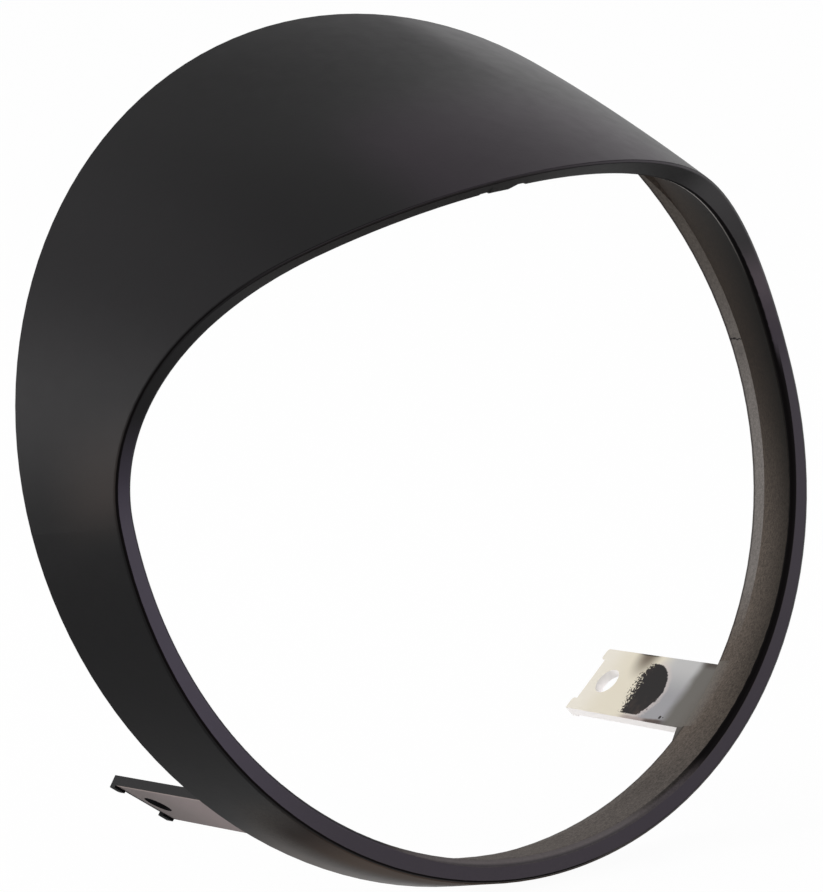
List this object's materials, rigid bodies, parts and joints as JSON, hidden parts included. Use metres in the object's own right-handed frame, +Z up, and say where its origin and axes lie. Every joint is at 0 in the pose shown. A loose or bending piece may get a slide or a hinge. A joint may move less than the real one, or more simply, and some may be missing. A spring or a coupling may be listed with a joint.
{
  "type": "headlight ring",
  "caption": "Satin black tapering trim ring with a deep brow, a narrow lower rim, a rounded front lip and flat rear fixing tabs with screw holes, for framing a round headlamp.",
  "frame": {"origin": "middle of the rear rim, where the rim's plane meets the plane of symmetry", "axes": "+X to the right seen from the front, +Y to the rear along the fixing tabs, +Z up; the brow looks towards -Y"},
  "size_m": [0.2, 0.0932, 0.1944],
  "materials": {
    "satin_black": "satin"
  },
  "bodies": {
    "root": {"headlight_ring": "satin_black"}
  },
  "joints": []
}
